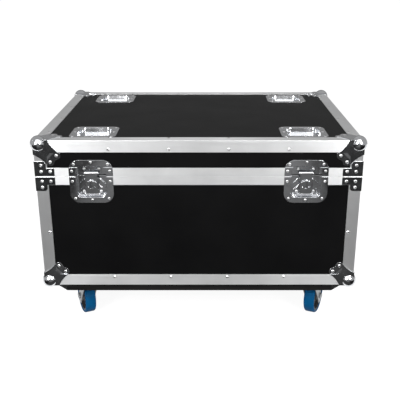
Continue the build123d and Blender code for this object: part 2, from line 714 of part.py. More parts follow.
def latch_bracket():
    """Hinge bracket on the floor of the lower well, with an ear at each end of the barrel."""
    bottom = -PIN_DROP - BARREL_RADIUS
    half = BRACKET_WIDTH / 2
    outline = make_face(Polyline((-half + BRACKET_CHAMFER, bottom), (half - BRACKET_CHAMFER, bottom),
                                 (half, bottom + BRACKET_CHAMFER), (half, -BRACKET_SHOULDER),
                                 (BRACKET_NECK / 2, -BRACKET_TOP), (-BRACKET_NECK / 2, -BRACKET_TOP),
                                 (-half, -BRACKET_SHOULDER), (-half, bottom + BRACKET_CHAMFER), close=True))
    raised = make_face(Polyline((-BOSS_WIDTH / 2, -BOSS_BOTTOM), (BOSS_WIDTH / 2, -BOSS_BOTTOM),
                                (BOSS_WIDTH / 2, -BOSS_SHOULDER), (BOSS_NECK / 2, -BOSS_TOP),
                                (-BOSS_NECK / 2, -BOSS_TOP), (-BOSS_WIDTH / 2, -BOSS_SHOULDER), close=True))
    bracket = facing(outline, WELL_DEPTH - PLATE, WELL_DEPTH)
    bracket += facing(raised, bracket_face(), WELL_DEPTH)
    for side in SIDES:
        near = BARREL_LENGTH / 2 + BRACKET_EAR_GAP
        ends = sorted((side * near, side * (near + BRACKET_EAR)))
        bracket += rod_x(BARREL_RADIUS, ends[0], ends[1], PIN_DEPTH, -PIN_DROP)
        bracket += block(ends[0], ends[1], PIN_DEPTH, WELL_DEPTH, -PIN_DROP - BARREL_RADIUS,
                         -PIN_DROP + BARREL_RADIUS)
    reach = BARREL_LENGTH / 2 + BRACKET_EAR_GAP + BRACKET_EAR
    bore = rod_x(PIN_RADIUS + RUNNING_CLEARANCE, -reach - OVERRUN, reach + OVERRUN, PIN_DEPTH, -PIN_DROP)
    pin = rod_x(PIN_RADIUS, -reach, reach, PIN_DEPTH, -PIN_DROP)
    return [bracket - bore, pin]


# Latch mechanism, built upright and then leaned out to its rest angle

def swing_plate():
    """Hinged carrier of the latch, with the guides that hold the claw in line."""
    back = SWING_PLATE_DEPTH + SWING_PLATE_THICKNESS
    half = CLAW_WIDTH / 2 + CLAW_GAP
    plate = centred(2 * (half + GUIDE_THICKNESS), SWING_PLATE_DEPTH, back,
                    -SWING_PLATE_SHOULDER, -SWING_PLATE_TOP)
    plate += centred(CLAW_WIDTH, SWING_PLATE_DEPTH, back, -PIN_DROP, -SWING_PLATE_SHOULDER)
    for side in SIDES:
        ends = sorted((side * half, side * (half + GUIDE_THICKNESS)))
        plate += block(ends[0], ends[1], SWING_PLATE_DEPTH - GUIDE_HEIGHT, SWING_PLATE_DEPTH,
                       -SWING_PLATE_SHOULDER + GUIDE_END, -SWING_PLATE_TOP - GUIDE_END)
    plate += rod_x(BARREL_RADIUS, -BARREL_LENGTH / 2, BARREL_LENGTH / 2, PIN_DEPTH, -PIN_DROP)
    plate -= rod_x(PIN_RADIUS + RUNNING_CLEARANCE, -BARREL_LENGTH, BARREL_LENGTH, PIN_DEPTH, -PIN_DROP)
    plate -= rod_y(SPINDLE_SHAFT_RADIUS + RUNNING_CLEARANCE, 0, 0, back + OVERRUN, -SPINDLE_DROP)
    return plate


def claw():
    """Sliding claw with its curled hook and the slot that the eccentric works in."""
    back = SWING_PLATE_DEPTH - CLAW_GAP
    front = back - CLAW_THICKNESS
    half = CLAW_HEAD_WIDTH / 2
    half_top = CLAW_HEAD_TOP_WIDTH / 2
    low = CLAW_HEAD_BOTTOM
    shoulder = CLAW_HEAD_SHOULDER
    head = make_face(Polyline((-half, low), (half, low), (half, shoulder), (half_top, CLAW_TOP),
                              (-half_top, CLAW_TOP), (-half, shoulder), close=True))
    curl_y = front + CLAW_CURL_RADIUS
    curl_z = CLAW_TOP - CLAW_CURL_RADIUS
    curl = rod_x(CLAW_CURL_RADIUS, -half, half, curl_y, curl_z)
    curl -= rod_x(CLAW_CURL_RADIUS - CLAW_THICKNESS, -half - OVERRUN, half + OVERRUN, curl_y, curl_z)
    curl &= centred(CLAW_HEAD_WIDTH, front, curl_y, curl_z, CLAW_TOP)
    curl &= facing(head, front, curl_y)
    piece = centred(CLAW_WIDTH, front, back, -CLAW_BOTTOM, low)
    piece += centred(CLAW_HEAD_WIDTH, front, back, low, curl_z)
    piece += curl
    half_x = CAM_RADIUS + CAM_OFFSET + CAM_SIDE_GAP
    half_z = CAM_RADIUS + CAM_RISE_GAP
    slot = SlotCenterToCenter(2 * (half_x - half_z), 2 * half_z)
    return piece - facing(Pos(0, -SPINDLE_DROP - CAM_OFFSET) * slot, -OVERRUN, back + OVERRUN)


def wing_axis_depth():
    return SPINDLE_DISC_DEPTH - WING_KNUCKLE_RADIUS - WING_FLOOR_GAP


def spindle():
    """Disc, eccentric, shaft and rear flange in one piece, with the ears that carry the wings."""
    disc_back = SPINDLE_DISC_DEPTH + SPINDLE_DISC_THICKNESS
    plate_back = SWING_PLATE_DEPTH + SWING_PLATE_THICKNESS
    flange = plate_back + SPINDLE_FLANGE_GAP
    body = rod_y(SPINDLE_DISC_RADIUS, 0, SPINDLE_DISC_DEPTH, disc_back, 0)
    body += rod_y(CAM_RADIUS, 0, disc_back, SWING_PLATE_DEPTH - CAM_END_GAP, -CAM_OFFSET)
    body += rod_y(SPINDLE_SHAFT_RADIUS, 0, disc_back, flange, 0)
    body += rod_y(SPINDLE_FLANGE_RADIUS, 0, flange, flange + SPINDLE_FLANGE_THICKNESS, 0)
    axis_y = wing_axis_depth()
    ear_start = WING_HEIGHT / 2 + WING_GAP
    reach = ear_start + WING_EAR_THICKNESS + OVERRUN
    for side in SIDES:
        x = side * WING_AXIS_X
        for end in SIDES:
            near = end * ear_start
            ends = sorted((near, near + end * WING_EAR_THICKNESS))
            body += block(x - WING_EAR_HALF_WIDTH, x + WING_EAR_HALF_WIDTH, axis_y - WING_EAR_HALF_WIDTH,
                          SPINDLE_DISC_DEPTH, ends[0], ends[1])
    for side in SIDES:
        body -= rod_z(WING_PIN_RADIUS + RUNNING_CLEARANCE, side * WING_AXIS_X, axis_y, -reach, reach)
    return Pos(0, 0, -SPINDLE_DROP) * body


def wing(side):
    """Folding wing of the butterfly, lying flat, with its pins at both ends."""
    axis_y = wing_axis_depth()
    half = WING_HEIGHT / 2
    length = WING_REACH - WING_AXIS_X
    outline = Pos(WING_AXIS_X + length / 2, 0) * Rectangle(length, WING_HEIGHT)
    outline = fillet(outline.vertices().group_by(Axis.X)[-1], WING_TIP_RADIUS)
    window = length - 2 * WING_WEB
    slot = SlotOverall(WING_HEIGHT - 2 * WING_WEB, window / 2, rotation=90)
    outline -= Pos(WING_AXIS_X + WING_WEB + window / 2, 0) * slot
    body = facing(outline, axis_y - WING_THICKNESS / 2, axis_y + WING_THICKNESS / 2)
    body += rod_z(WING_KNUCKLE_RADIUS, WING_AXIS_X, axis_y, -half, half)
    pin = half + WING_GAP + WING_EAR_THICKNESS
    body += rod_z(WING_PIN_RADIUS, WING_AXIS_X, axis_y, -pin, pin)
    if side < 0:
        body = mirror(body, about=Plane.YZ)
    return Pos(0, 0, -SPINDLE_DROP) * body


def leaned(shape):
    """Swing a latch piece out from the hooked place to its rest angle."""
    return shape.rotate(Axis((0, PIN_DEPTH, -PIN_DROP), (1, 0, 0)), SWING_REST)


# Handles, built on the end face x = 0 with the inside towards +X

def end_face(outline, x0, x1):
    """A sketch in Y and Z, extruded from depth x0 to x1."""
    return extrude(Plane((x0, 0, 0), x_dir=(0, 1, 0), z_dir=(1, 0, 0)).location * outline, x1 - x0)


def handle_dish():
    flange = RectangleRounded(HANDLE_FLANGE_WIDTH, HANDLE_FLANGE_HEIGHT, HANDLE_FLANGE_RADIUS)
    well = RectangleRounded(HANDLE_WELL_WIDTH, HANDLE_WELL_HEIGHT, HANDLE_WELL_RADIUS)
    outer = RectangleRounded(HANDLE_WELL_WIDTH + 2 * PLATE, HANDLE_WELL_HEIGHT + 2 * PLATE,
                             HANDLE_WELL_RADIUS + PLATE)
    dish = end_face(flange, 0, RAIL_WALL) + end_face(outer, 0, HANDLE_WELL_DEPTH + PLATE)
    dish -= end_face(well, -OVERRUN, HANDLE_WELL_DEPTH)
    return [dish] + [pivot_block(side) for side in SIDES]


def block_span(side):
    """Near and far faces of a pivot block along the handle."""
    far = BAIL_SPAN / 2 + BAIL_TRUNNION - PIVOT_BLOCK_END_GAP
    return sorted((side * (far - PIVOT_BLOCK_THICKNESS), side * far))


def pivot_block(side):
    ends = block_span(side)
    body = block(PIVOT_DEPTH - PIVOT_BLOCK_HALF_HEIGHT, HANDLE_WELL_DEPTH, ends[0], ends[1],
                 PIVOT_RISE - PIVOT_BLOCK_HALF_HEIGHT, PIVOT_RISE + PIVOT_BLOCK_HALF_HEIGHT)
    bore = rod_y(BAIL_RADIUS + RUNNING_CLEARANCE, PIVOT_DEPTH, ends[0] - OVERRUN, ends[1] + OVERRUN,
                 PIVOT_RISE)
    return body - bore


def bail():
    """Bent rod with a turned-out trunnion at each end."""
    half = BAIL_SPAN / 2
    low = PIVOT_RISE - BAIL_DROP
    route = FilletPolyline((PIVOT_DEPTH, -half - BAIL_TRUNNION, PIVOT_RISE),
                           (PIVOT_DEPTH, -half, PIVOT_RISE),
                           (PIVOT_DEPTH, -half, low), (PIVOT_DEPTH, half, low),
                           (PIVOT_DEPTH, half, PIVOT_RISE),
                           (PIVOT_DEPTH, half + BAIL_TRUNNION, PIVOT_RISE), radius=BAIL_BEND)
    start = Plane(origin=route @ 0, z_dir=route % 0)
    return sweep(start * Circle(BAIL_RADIUS), path=route)


def grip():
    """Sleeve on the cross bar of the bail."""
    reach = BAIL_SPAN / 2 - BAIL_BEND - GRIP_END_GAP
    low = PIVOT_RISE - BAIL_DROP
    sleeve = rod_y(GRIP_RADIUS, PIVOT_DEPTH, -reach, reach, low)
    ends = sleeve.edges().filter_by(GeomType.CIRCLE)
    sleeve = fillet(ends, GRIP_END_RADIUS)
    return sleeve - rod_y(BAIL_RADIUS, PIVOT_DEPTH, -reach - OVERRUN, reach + OVERRUN, low)


def handle_springs():
    """Return springs round the trunnions, between the bail and the pivot blocks."""
    springs = []
    for side in SIDES:
        near = BAIL_SPAN / 2 + BAIL_BEND
        ends = block_span(side)
        face = ends[0] if side > 0 else ends[1]
        length = abs(face) - near - 2 * SPRING_WIRE_RADIUS - SPRING_END_GAP
        coil = Helix(length / SPRING_TURNS, length, SPRING_RADIUS)
        section = Plane(origin=coil @ 0, z_dir=coil % 0) * Circle(SPRING_WIRE_RADIUS)
        wire = sweep(section, path=coil, is_frenet=True)
        start = face - side * SPRING_WIRE_RADIUS
        springs.append(Pos(PIVOT_DEPTH, start, PIVOT_RISE) * Rot(side * 90, 0, 0) * wire)
    return springs


def on_end(shape, side):
    """Place a handle piece on an end of the base."""
    placed = Pos(-HALF_W, 0, CASE_Z + HANDLE_RISE) * shape
    return placed if side < 0 else mirror(placed, about=Plane.YZ)


def handle_hole():
    outer = RectangleRounded(HANDLE_WELL_WIDTH + 2 * (PLATE + WELL_CLEARANCE),
                             HANDLE_WELL_HEIGHT + 2 * (PLATE + WELL_CLEARANCE),
                             HANDLE_WELL_RADIUS + PLATE + WELL_CLEARANCE)
    return end_face(outer, -OVERRUN, PANEL_BACK + FOAM + OVERRUN)


# Rear hinges, from the hinge centre line, the split and the outer face

def hinge_leaf(sign):
    """Cranked leaf with its knuckles, sign = 1 on the lid and -1 on the base."""
    rail = (GROOVE_RAIL_LEG if sign > 0 else TONGUE_RAIL_LEG) + SPLIT_GAP / 2
    edge = HINGE_BARREL_RADIUS + HINGE_EDGE_GAP

    def span(rise0, rise1):
        return sorted((sign * rise0, sign * rise1))
    near = span(edge, rail + PLATE)
    far = span(rail, HINGE_LEAF)
    leaf = centred(HINGE_WIDTH, 0, PLATE, near[0], near[1]) + centred(HINGE_WIDTH, -PLATE, 0, far[0], far[1])
    if sign > 0:
        knuckles = [(-HINGE_KNUCKLE / 2, HINGE_KNUCKLE / 2)]
    else:
        inner = HINGE_KNUCKLE / 2 + HINGE_KNUCKLE_GAP
        knuckles = [(-HINGE_WIDTH / 2, -inner), (inner, HINGE_WIDTH / 2)]
    neck = span(0, edge)
    for x0, x1 in knuckles:
        leaf += rod_x(HINGE_BARREL_RADIUS, x0, x1, HINGE_AXIS_OUT, 0)
        leaf += block(x0, x1, 0, PLATE, neck[0], neck[1])
    bore = rod_x(HINGE_PIN_RADIUS + RUNNING_CLEARANCE, -HINGE_WIDTH, HINGE_WIDTH, HINGE_AXIS_OUT, 0)
    return leaf - bore


def hinge_pin():
    return rod_x(HINGE_PIN_RADIUS, -HINGE_WIDTH / 2, HINGE_WIDTH / 2, HINGE_AXIS_OUT, 0)


def at_hinges(shape):
    return [Pos(side * HINGE_X, HALF_D, SPLIT_Z) * shape for side in SIDES]


# Castor board and castors

def castor_places():
    """Name, swivel place and yaw of each castor."""
    places = []
    for row, end in (("front", -1), ("rear", 1)):
        for word, side in (("left", -1), ("right", 1)):
            places.append((row + "_" + word, side * CASTOR_X, end * CASTOR_Y, -side * CASTOR_YAW))
    return places


def bolt_places():
    return [(x + side_x * CASTOR_BOLT_SPACING_X / 2, y + side_y * CASTOR_BOLT_SPACING_Y / 2)
            for name, x, y, yaw in castor_places() for side_x in SIDES for side_y in SIDES]


def bolt_holes(z0, z1):
    return [rod_z(BOLT_HOLE_RADIUS, x, y, z0 - OVERRUN, z1 + OVERRUN) for x, y in bolt_places()]


def castor_board():
    """Board under the case, with cut corners, bolt holes and rebates over the ball corners' legs."""
    half_x = HALF_W - BOARD_INSET
    half_y = HALF_D - BOARD_INSET
    board = block(-half_x, half_x, -half_y, half_y, BOARD_Z, CASE_Z)
    board = chamfer(board.edges().filter_by(Axis.Z), BOARD_CHAMFER)
    rebate = LEG_REACH + BOARD_REBATE_MARGIN
    pocket = block(-HALF_W, -HALF_W + rebate, -HALF_D, -HALF_D + rebate, CASE_Z - BOARD_REBATE_DEPTH,
                   CASE_Z + OVERRUN)
    board -= four_ways(pocket)
    return board - bolt_holes(BOARD_Z, CASE_Z)


def castor_top_plate():
    """Fixing plate with the kingpin that carries the fork, from the swivel axis and the floor."""
    plate_z = CASTOR_HEIGHT - CASTOR_PLATE_THICKNESS
    plate = extrude(Pos(0, 0, plate_z) * RectangleRounded(CASTOR_PLATE_LENGTH, CASTOR_PLATE_WIDTH,
                                                          CASTOR_PLATE_RADIUS), CASTOR_PLATE_THICKNESS)
    for side_x in SIDES:
        for side_y in SIDES:
            x = side_x * CASTOR_BOLT_SPACING_X / 2
            y = side_y * CASTOR_BOLT_SPACING_Y / 2
            plate -= rod_z(BOLT_HOLE_RADIUS, x, y, plate_z - OVERRUN, CASTOR_HEIGHT + OVERRUN)
    crown_low = crown_top() - CROWN_THICKNESS
    flange_top = crown_low - KINGPIN_GAP
    plate += rod_z(KINGPIN_RADIUS, 0, 0, flange_top, plate_z)
    plate += rod_z(KINGPIN_FLANGE_RADIUS, 0, 0, flange_top - KINGPIN_FLANGE_THICKNESS, flange_top)
    return plate


def crown_top():
    return CASTOR_HEIGHT - CASTOR_PLATE_THICKNESS - 2 * (RACE_BALL_RADIUS + RACE_GAP)


def ball_race():
    """Ring of balls between the plate and the crown of the fork."""
    z = crown_top() + RACE_BALL_RADIUS + RACE_GAP
    ball = Pos(RACE_RADIUS, 0, z) * Sphere(RACE_BALL_RADIUS)
    return [Rot(0, 0, 360 / RACE_BALL_COUNT * index) * ball for index in range(RACE_BALL_COUNT)]


def castor_fork():
    """Fork with its crown, trailing along +Y, and its axle bolt and nut."""
    top = crown_top()
    low = top - CROWN_THICKNESS
    crown = rod_z(CROWN_RADIUS, 0, 0, low, top)
    crown += rod_z(CROWN_RADIUS, 0, 0, top, top + CROWN_RIM) - rod_z(CROWN_RADIUS - FORK_WALL, 0, 0, top,
                                                                     top + CROWN_RIM)
    axle = WHEEL_RADIUS
    foot = axle - FORK_FOOT_DROP
    outline = make_face(Polyline((-FORK_FRONT, low), (FORK_BACK, low), (TRAIL + FORK_FOOT_RADIUS, foot),
                                 (TRAIL - FORK_FOOT_RADIUS, foot), (-FORK_FRONT, low - FORK_SHOULDER_DROP),
                                 close=True))
    outline += Pos(TRAIL, foot) * Circle(FORK_FOOT_RADIUS)
    half = HUB_LENGTH / 2 + HUB_SIDE_GAP
    fork = crown - rod_z(KINGPIN_RADIUS + RUNNING_CLEARANCE, 0, 0, low - OVERRUN, top + OVERRUN)
    for side in SIDES:
        x0 = side * half if side > 0 else -half - FORK_WALL
        fork += end_face(outline, x0, x0 + FORK_WALL)
    fork -= rod_x(AXLE_RADIUS + RUNNING_CLEARANCE, -HUB_LENGTH, HUB_LENGTH, TRAIL, axle)
    reach = half + FORK_WALL
    bolt = rod_x(AXLE_RADIUS, -reach, reach + AXLE_HEAD_HEIGHT, TRAIL, axle)
    bolt += hexagon(-reach - AXLE_HEAD_HEIGHT, -reach)
    nut = hexagon(reach, reach + AXLE_NUT_HEIGHT)
    nut -= rod_x(AXLE_RADIUS, reach - OVERRUN, reach + AXLE_HEAD_HEIGHT + OVERRUN, TRAIL, axle)
    return [fork, bolt, nut]


def hexagon(x0, x1):
    """Hexagonal head or nut on the axle."""
    return end_face(Pos(TRAIL, WHEEL_RADIUS) * RegularPolygon(AXLE_HEAD_RADIUS, 6), x0, x1)


def wheel_rim():
    half = HUB_LENGTH / 2
    band_low = RIM_RADIUS - RIM_BAND
    points = [(-half, AXLE_RADIUS + RUNNING_CLEARANCE), (half, AXLE_RADIUS + RUNNING_CLEARANCE),
              (half, HUB_RADIUS), (RIM_WEB / 2, HUB_RADIUS), (RIM_WEB / 2, band_low),
              (RIM_WIDTH / 2, band_low), (RIM_WIDTH / 2, RIM_RADIUS), (-RIM_WIDTH / 2, RIM_RADIUS),
              (-RIM_WIDTH / 2, band_low), (-RIM_WEB / 2, band_low), (-RIM_WEB / 2, HUB_RADIUS),
              (-half, HUB_RADIUS)]
    section = make_face(Polyline(*points, close=True))
    return on_axle(revolve(section, Axis.X))


def wheel_tyre():
    half = TYRE_WIDTH / 2
    section = Pos(0, (WHEEL_RADIUS + RIM_RADIUS) / 2) * Rectangle(TYRE_WIDTH, WHEEL_RADIUS - RIM_RADIUS)
    section = fillet(section.vertices().group_by(Axis.Y)[-1], TYRE_SHOULDER)
    section = chamfer(section.vertices().group_by(Axis.Y)[0], half - RIM_WIDTH / 2)
    return on_axle(revolve(section, Axis.X))


def on_axle(shape):
    return Pos(0, TRAIL, WHEEL_RADIUS) * shape


def castor_bolts():
    """Bolts up through plate, board and floor, each with a tee nut inside the case."""
    pieces = []
    floor_top = CASE_Z + PANEL_BACK
    head_top = BOARD_Z - CASTOR_PLATE_THICKNESS
    bolt = rod_z(BOLT_RADIUS, 0, 0, head_top, floor_top)
    head = RegularPolygon(BOLT_HEAD_RADIUS, 6)
    bolt += extrude(Pos(0, 0, head_top - BOLT_HEAD_HEIGHT) * head, BOLT_HEAD_HEIGHT)
    nut = rod_z(TEE_NUT_RADIUS, 0, 0, floor_top, floor_top + TEE_NUT_THICKNESS)
    for x, y in bolt_places():
        pieces += [Pos(x, y, 0) * bolt, Pos(x, y, 0) * nut]
    return pieces


# Foam lining

def base_foam():
    """Floor sheet and four wall sheets, clear of the dishes and the tee nuts."""
    floor_z = CASE_Z + PANEL_BACK
    reach_x = HALF_W - INNER_REACH - FOAM_GAP
    reach_y = HALF_D - INNER_REACH - FOAM_GAP
    floor = block(-reach_x, reach_x, -reach_y, reach_y, floor_z, floor_z + FOAM)
    dent_z = floor_z + TEE_NUT_THICKNESS + FOAM_GAP
    floor -= [rod_z(TEE_NUT_RADIUS + FOAM_LIFT, x, y, floor_z - OVERRUN, dent_z) for x, y in bolt_places()]
    low = CASE_Z + INNER_REACH + FOAM_GAP
    high = BASE_EDGE_Z - CLOSING_INNER_LEG - FOAM_GAP
    front = block(-reach_x, reach_x, -HALF_D + PANEL_BACK, -HALF_D + PANEL_BACK + FOAM, low, high)
    end = block(-HALF_W + PANEL_BACK, -HALF_W + PANEL_BACK + FOAM, -reach_y, reach_y, low, high)
    end -= Pos(-HALF_W, 0, CASE_Z + HANDLE_RISE) * handle_hole()
    walls = [front - LATCH_FOAM_POCKETS, mirror(front, about=Plane.XZ), end, mirror(end, about=Plane.YZ)]
    return [floor] + walls


def lid_foam():
    """Sheet under the top panel, cut out for the stacking dishes."""
    high = TOP_Z - PANEL_BACK
    reach_x = HALF_W - INNER_REACH - FOAM_GAP
    reach_y = HALF_D - INNER_REACH - FOAM_GAP
    sheet = block(-reach_x, reach_x, -reach_y, reach_y, high - FOAM, high)
    return [sheet - dish_holes()]


# Assembly

def save_shell():
    """Panels, rails, foam and board."""
    base_low = CASE_Z + CHANNEL
    base_high = BASE_EDGE_Z - RAIL_WALL
    lid_low = LID_EDGE_Z + GROOVE_WEB
    lid_high = TOP_Z - CHANNEL
    front, back, left, right = wall_panels(base_low, base_high)
    hole = handle_hole()
    save("base_front_panel", [front])
    save("base_back_panel", [back])
    save("base_end_panels", [left - on_end(hole, -1), right - on_end(hole, 1)])
    floor = flat_panel(CASE_Z + RAIL_WALL, CASE_Z + PANEL_BACK)
    save("base_floor_panel", [floor - bolt_holes(CASE_Z, CASE_Z + PANEL_BACK)])
    front, back, left, right = wall_panels(lid_low, lid_high)
    save("lid_front_panel", [front])
    save("lid_back_panel", [back])
    save("lid_end_panels", [left, right])
    save("lid_top_panel", [flat_panel(TOP_Z - PANEL_BACK, TOP_Z - RAIL_WALL) - dish_holes()])
    save("base_bottom_rails", edge_ring(CASE_Z, 1))
    save("base_corner_rails", corner_rails(CASE_Z + RAIL_LEG, BASE_EDGE_Z - TONGUE_RAIL_LEG))
    lid_uprights = corner_rails(LID_EDGE_Z + GROOVE_RAIL_LEG, TOP_Z - RAIL_LEG)
    save("lid_edge_rails", edge_ring(TOP_Z, -1) + lid_uprights)
    save("base_tongue_rails", tongue_rails())
    save("lid_groove_rails", groove_rails())
    save("base_foam_lining", base_foam())
    save("lid_foam_lining", lid_foam())
    save("castor_board", [castor_board()])


def save_corners():
    """Ball corners, braces and all rivets."""
    corner = ball_corner()
    low = Pos(-HALF_W, -HALF_D, CASE_Z) * corner
    high = Pos(-HALF_W, -HALF_D, TOP_Z) * mirror(corner, about=Plane.XY)
    save("base_ball_corners", four_ways(low))
    save("lid_ball_corners", four_ways(high))
    upper = Pos(-HALF_W, -HALF_D, SPLIT_Z) * corner_brace(LID_BRACE_RISE, GROOVE_RAIL_LEG)
    lower = corner_brace(BASE_BRACE_RISE, TONGUE_RAIL_LEG)
    lower = Pos(-HALF_W, -HALF_D, SPLIT_Z) * mirror(lower, about=Plane.XY)
    save("lid_corner_braces", four_ways(upper))
    save("base_corner_braces", four_ways(lower))

    def corner_rows(face_z, sign, brace_sign):
        legs = [(LOBE_ALONG, face_z + sign * LOBE_ACROSS, 0), (LOBE_ACROSS, face_z + sign * LOBE_ALONG, 0)]
        braces = [(BRACE_RIVET_NEAR, SPLIT_Z + brace_sign * BRACE_RIVET_LOW, PLATE),
                  (BRACE_RIVET_FAR, SPLIT_Z + brace_sign * BRACE_RIVET_LOW, PLATE),
                  (BRACE_RIVET_NEAR, SPLIT_Z + brace_sign * BRACE_RIVET_HIGH, PLATE)]
        return legs + braces
    upright = [(RIVET_INSET, CASE_Z + BASE_HEIGHT / 2, 0)]
    base = side_rivets(CASE_Z + RIVET_INSET) + corner_rivets(corner_rows(CASE_Z, 1, -1) + upright)
    base += flat_corner_rivets(CASE_Z, -1) + latch_rivets(False) + bracket_rivets() + handle_rivets()
    save("base_rivets", base + hinge_rivets(-1))
    lid = side_rivets(TOP_Z - RIVET_INSET) + top_rivets() + corner_rivets(corner_rows(TOP_Z, -1, 1))
    lid += flat_corner_rivets(TOP_Z, 1) + latch_rivets(True) + strike_rivets() + dish_rivets()
    save("lid_rivets", lid + hinge_rivets(1))


def save_latches():
    def at_latches(shapes):
        return [Pos(side * LATCH_X, -HALF_D, SPLIT_Z) * shape for side in SIDES for shape in shapes]
    save("latch_upper_dishes", at_latches([latch_dish(1, LATCH_TOP, WELL_TOP, GROOVE_RAIL_LEG)]))
    save("latch_lower_dishes", at_latches([latch_dish(-1, LATCH_BOTTOM, WELL_BOTTOM, TONGUE_RAIL_LEG)]))
    save("latch_strikes", at_latches([latch_strike()]))
    save("latch_hinge_brackets", at_latches(latch_bracket()))
    pieces = (("swing_plate", swing_plate()), ("claw", claw()), ("spindle", spindle()),
              ("wing_left", wing(-1)), ("wing_right", wing(1)))
    for word, side in (("left", -1), ("right", 1)):
        for name, shape in pieces:
            save("latch_" + word + "_" + name, [Pos(side * LATCH_X, -HALF_D, SPLIT_Z) * leaned(shape)])


def save_handles():
    dish = handle_dish()
    springs = handle_springs()
    save("handle_dishes", [on_end(shape, side) for side in SIDES for shape in dish])
    save("handle_springs", [on_end(shape, side) for side in SIDES for shape in springs])
    for word, side in (("left", -1), ("right", 1)):
        save("handle_" + word + "_bail", [on_end(bail(), side)])
        save("handle_" + word + "_grip", [on_end(grip(), side)])


def save_castors():
    plate = castor_top_plate()
    race = ball_race()
    save("castor_top_plates", [Pos(x, y, 0) * plate for name, x, y, yaw in castor_places()])
    save("castor_ball_races", [Pos(x, y, 0) * ball for name, x, y, yaw in castor_places() for ball in race])
    save("castor_bolts", castor_bolts())
    fork = castor_fork()
    for name, x, y, yaw in castor_places():
        place = Pos(x, y, 0) * Rot(0, 0, yaw)
        save("castor_" + name + "_fork", [place * piece for piece in fork])
        save("castor_" + name + "_rim", [place * wheel_rim()])
        save("castor_" + name + "_tyre", [place * wheel_tyre()])


os.makedirs("parts", exist_ok=True)
save_shell()
save_corners()
save_latches()
save_handles()
save_castors()
save("stacking_dishes", [Pos(x, y, TOP_Z) * stacking_dish() for x, y in dish_places()])
save("hinge_upper_leaves", at_hinges(hinge_leaf(1)))
save("hinge_lower_leaves", at_hinges(hinge_leaf(-1)) + at_hinges(hinge_pin()))
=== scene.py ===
import json
from math import cos, radians, sin

import bmesh
import bpy
from mathutils import Matrix, Vector


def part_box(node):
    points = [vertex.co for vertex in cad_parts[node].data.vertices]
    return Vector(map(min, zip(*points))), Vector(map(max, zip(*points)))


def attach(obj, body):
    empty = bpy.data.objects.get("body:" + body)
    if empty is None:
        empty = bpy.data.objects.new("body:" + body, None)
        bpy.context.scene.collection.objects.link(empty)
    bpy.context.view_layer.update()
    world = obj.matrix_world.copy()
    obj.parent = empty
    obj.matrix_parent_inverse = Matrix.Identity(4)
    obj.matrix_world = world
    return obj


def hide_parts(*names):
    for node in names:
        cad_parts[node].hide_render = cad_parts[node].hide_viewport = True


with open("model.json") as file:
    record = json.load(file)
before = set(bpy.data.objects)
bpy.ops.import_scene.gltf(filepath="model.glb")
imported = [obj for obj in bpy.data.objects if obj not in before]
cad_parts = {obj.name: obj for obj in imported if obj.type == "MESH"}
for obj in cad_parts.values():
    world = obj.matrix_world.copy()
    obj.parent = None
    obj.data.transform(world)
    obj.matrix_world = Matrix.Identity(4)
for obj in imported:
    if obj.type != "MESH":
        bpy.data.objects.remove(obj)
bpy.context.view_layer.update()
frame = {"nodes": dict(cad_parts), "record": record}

# Road case on castors. Metres, floor at z = 0, +X to the right, -Y to the front, +Z up.

# Places and sizes of the case that the dressing needs
HALF_WIDTH = 0.4
HALF_DEPTH = 0.3
RAIL_LEG = 0.03
BOARD_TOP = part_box("castor_board")[1][2]
LID_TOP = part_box("lid_edge_rails")[1][2]

# Softened edges of each kind of piece
PRESSED_EDGE = 0.0005
EXTRUDED_EDGE = 0.0003
SMALL_EDGE = 0.0003
BOARD_EDGE = 0.0012
FOAM_EDGE = 0.003
BALL_CORNER_EDGE = 0.0003
FOLD_EDGE = 0.0009
EDGE_SEGMENTS = 2
BOARD_SEGMENTS = 3
FOAM_SEGMENTS = 4

# What counts as an edge, a fold, a seam or a flat face
FOLD_LENGTH = 0.01
FOLD_ANGLE = radians(10)
SHARP_ANGLE = radians(30)
SMOOTH_ANGLE = radians(38)
SEAM_DISTANCE = 0.000002
FLAT_ANGLE = radians(0.4)

# Parts of rivets and wheels that have a finish of their own; the rivet eyes' dark finish is partly the
# mandrel end's darker steel and partly painted shade in the rivet's hole
EYE_RADIUS = 0.00135
WHEEL_WEB_RADIUS = 0.0385
AXLE_YAW = radians(24)

# The three ways in which rails run
ALONG_X, ALONG_Y, ALONG_Z = range(3)

RAIL_COLOR = (0.86, 0.865, 0.87)

# Light: strengths, and the place, aim, size and power of each lamp
FLOOR_SIZE = 40.0
FLOOR_GREY = 0.25
FLOOR_GLOW = 0.9
WORLD_LIGHT = 0.45
WORLD_WHITE = 1.0
LAMPS = (
    ("left_lamp", (-1.2, -2.2, 1.4), (0.0, 0.0, 0.45), (0.8, 0.9), 46.0),
    ("right_lamp", (1.2, -2.2, 1.4), (0.0, 0.0, 0.45), (0.8, 0.9), 44.0),
    ("top_lamp", (0.0, -1.7, 2.5), (0.0, 0.0, 0.4), (2.8, 1.5), 28.0),
)

# Room of grey cards that metal reflects
ROOM_FRONT = -4.7
ROOM_BACK = 3.2
ROOM_SIDE = 3.2
ROOM_TOP = 3.45
ROOM_WIDTH = 8.0
CARD_FOOT = 0.01
FRONT_CARD_HEIGHT = 1.5
WALL_CARD_HEIGHT = 3.4
FLOOR_CARD_WIDTH = 7.0
FLOOR_CARD_DEPTH = 4.4
FLOOR_CARD_Y = -2.53
FLOOR_CARD_LIFT = 0.004
FLOOR_CARD_GREY = 1.0
FRONT_CARD_GREY = 0.2
BACK_CARD_GREY = 0.3
CEILING_CARD_GREY = 0.45
SIDE_CARD_GREY = 0.45

# How the floor card fades: from a place to another, and from a strength to another
FADE_TO_SIDES = (0.48, 0.56, 1.0, 0.15)
FADE_TO_CASE = (-2.0, -0.6, 0.28, 0.05)

